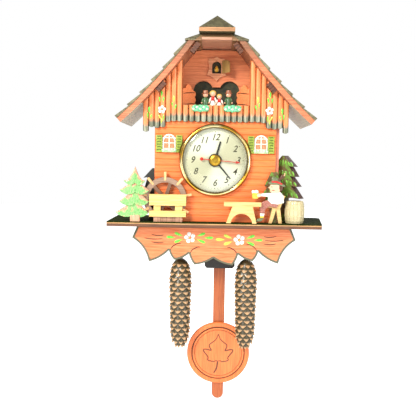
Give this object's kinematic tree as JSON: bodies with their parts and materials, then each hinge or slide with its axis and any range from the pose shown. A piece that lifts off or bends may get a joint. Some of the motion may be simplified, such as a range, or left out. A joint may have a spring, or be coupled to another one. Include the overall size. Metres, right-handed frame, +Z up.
{
  "type": "pendulum wall clock",
  "caption": "Chalet-shaped wall clock with a round quartz insert, a carved garden shelf, a wooden pendulum and hanging cones.",
  "frame": {"origin": "centre of the round part of the hanging keyhole, on the back face that lies on the wall", "axes": "+Z up, +Y into the wall, the dial faces -Y, +X to the viewer's right"},
  "size_m": [0.1992, 0.066, 0.3617],
  "materials": {
    "orange_wood": "satin stain over plywood, fine printed grain",
    "gable_wood": "satin reddish orange stain, dark edges on the skirt",
    "plain_wood": "bare plywood",
    "roof_wood": "stained board with paler front edge",
    "shingle_paint": "matte olive grey stain with carved shingles",
    "dark_wood": "dark brown stain",
    "flock": "green flock",
    "shutter_green": "yellow-green paint, white frame, louvre lines",
    "leaf_green": "hand painted light green over carved wood",
    "dark_green": "dark brown stain with green highlights",
    "cuckoo_wood": "carved and stained",
    "bird_yellow": "painted",
    "figure_paint": "hand painted in several colours",
    "wheel_wood": "grey brown stain, raw pegs",
    "pale_wood": "bare pale wood",
    "cone_cast": "cast with overlapping scales, worn pale tips",
    "steel": "bright wire",
    "brass": "polished",
    "dial_paper": "brushed cream with printed numerals",
    "clear_lens": "clear domed lens",
    "black_plastic": "moulded",
    "cell_steel": "steel can",
    "copper_wire": "enamelled copper winding",
    "gear_white": "moulded nylon",
    "hand_black": "satin black",
    "hand_red": "gloss red",
    "pendulum_wood": "orange brown stain with burnt engraving"
  },
  "bodies": {
    "case": {"facade": "orange_wood", "cladding": "orange_wood", "balcony": "orange_wood", "loggia_doors": "orange_wood", "gable_wall": "gable_wood", "skirt": "gable_wood", "back_panel": "plain_wood", "side_walls": "plain_wood", "loggia_floor": "plain_wood", "soffit": "plain_wood", "roof_boards": "roof_wood", "shingles": "shingle_paint", "hood": "shingle_paint", "ridge_cap": "shingle_paint", "beam_ends": "dark_wood", "shelf": "dark_wood", "window_backing": "dark_wood", "grass_mat": "flock", "windows": "shutter_green", "flower_boxes": "leaf_green", "light_tree": "leaf_green", "dark_trees": "dark_green", "cuckoo_frame": "cuckoo_wood", "cuckoo_bird": "bird_yellow", "dancers": "figure_paint", "drinker": "figure_paint", "waterwheel": "wheel_wood", "trough": "pale_wood", "table": "pale_wood", "chair": "pale_wood", "barrel": "pale_wood", "pivot_pins": "steel", "cone_hooks": "steel", "insert_bezel": "brass", "dial_plate": "dial_paper", "dial_glass": "clear_lens", "insert_cup": "black_plastic", "movement_front": "black_plastic", "drive_housing": "black_plastic", "drive_cover": "black_plastic", "button_cell": "cell_steel", "drive_battery": "cell_steel", "coil": "copper_wire", "drive_coil": "copper_wire"},
    "second_train": {"second_wheel": "gear_white", "second_hand": "hand_red"},
    "minute_train": {"centre_wheel": "gear_white", "minute_hand": "hand_black"},
    "hour_train": {"hour_wheel": "gear_white", "hour_hand": "hand_black"},
    "third": {"third_wheel": "gear_white"},
    "minute_reduction": {"minute_wheel": "gear_white"},
    "intermediate": {"intermediate_wheel": "gear_white"},
    "rotor_body": {"rotor": "gear_white"},
    "knob": {"setting_knob": "black_plastic"},
    "swing": {"swing_arm": "gear_white", "pendulum": "pendulum_wood"},
    "left_cone": {"cone_left": "cone_cast"},
    "right_cone": {"cone_right": "cone_cast"},
    "cuckoo_flap": {"cuckoo_door": "cuckoo_wood"}
  },
  "joints": [
    {"name": "second_spin", "type": "hinge", "parent": "case", "child": "second_train", "pos_m": [0, -0.045, -0.07], "axis": [0, 1, 0], "continuous": true},
    {"name": "minute_spin", "type": "hinge", "parent": "case", "child": "minute_train", "pos_m": [0, -0.045, -0.07], "axis": [0, 1, 0], "continuous": true},
    {"name": "hour_spin", "type": "hinge", "parent": "case", "child": "hour_train", "pos_m": [0, -0.045, -0.07], "axis": [0, 1, 0], "continuous": true},
    {"name": "third_spin", "type": "hinge", "parent": "case", "child": "third", "pos_m": [-0.00799, -0.045, -0.07291], "axis": [0, 1, 0], "continuous": true},
    {"name": "minute_wheel_spin", "type": "hinge", "parent": "case", "child": "minute_reduction", "pos_m": [0.00693, -0.045, -0.074], "axis": [0, 1, 0], "continuous": true},
    {"name": "intermediate_spin", "type": "hinge", "parent": "case", "child": "intermediate", "pos_m": [0.00152, -0.045, -0.06138], "axis": [0, 1, 0], "continuous": true},
    {"name": "rotor_spin", "type": "hinge", "parent": "case", "child": "rotor_body", "pos_m": [0.00743, -0.045, -0.06034], "axis": [0, 1, 0], "continuous": true},
    {"name": "setting_spin", "type": "hinge", "parent": "case", "child": "knob", "pos_m": [0.01093, -0.045, -0.08093], "axis": [0, 1, 0], "continuous": true},
    {"name": "pendulum_swing", "type": "hinge", "parent": "case", "child": "swing", "pos_m": [0.006, -0.0144, -0.152], "axis": [0, 1, 0], "range_deg": [-8, 8]},
    {"name": "left_cone_swing", "type": "hinge", "parent": "case", "child": "left_cone", "pos_m": [-0.031, -0.033, -0.15915], "axis": [0, 1, 0], "range_deg": [-10, 10]},
    {"name": "right_cone_swing", "type": "hinge", "parent": "case", "child": "right_cone", "pos_m": [0.031, -0.033, -0.15915], "axis": [0, 1, 0], "range_deg": [-10, 10]},
    {"name": "cuckoo_door_hinge", "type": "hinge", "parent": "case", "child": "cuckoo_flap", "pos_m": [0.0056, -0.0249, 0.016], "axis": [0, 0, 1], "range_deg": [-130, 25]}
  ],
  "couplings": [
    {"joint": "minute_spin", "follows": "second_spin", "ratio": 0.016667},
    {"joint": "hour_spin", "follows": "second_spin", "ratio": 0.0013889},
    {"joint": "third_spin", "follows": "second_spin", "ratio": -0.13333},
    {"joint": "minute_wheel_spin", "follows": "second_spin", "ratio": -0.0055556},
    {"joint": "intermediate_spin", "follows": "second_spin", "ratio": -6},
    {"joint": "rotor_spin", "follows": "second_spin", "ratio": 30},
    {"joint": "setting_spin", "follows": "second_spin", "ratio": 0.016667}
  ]
}
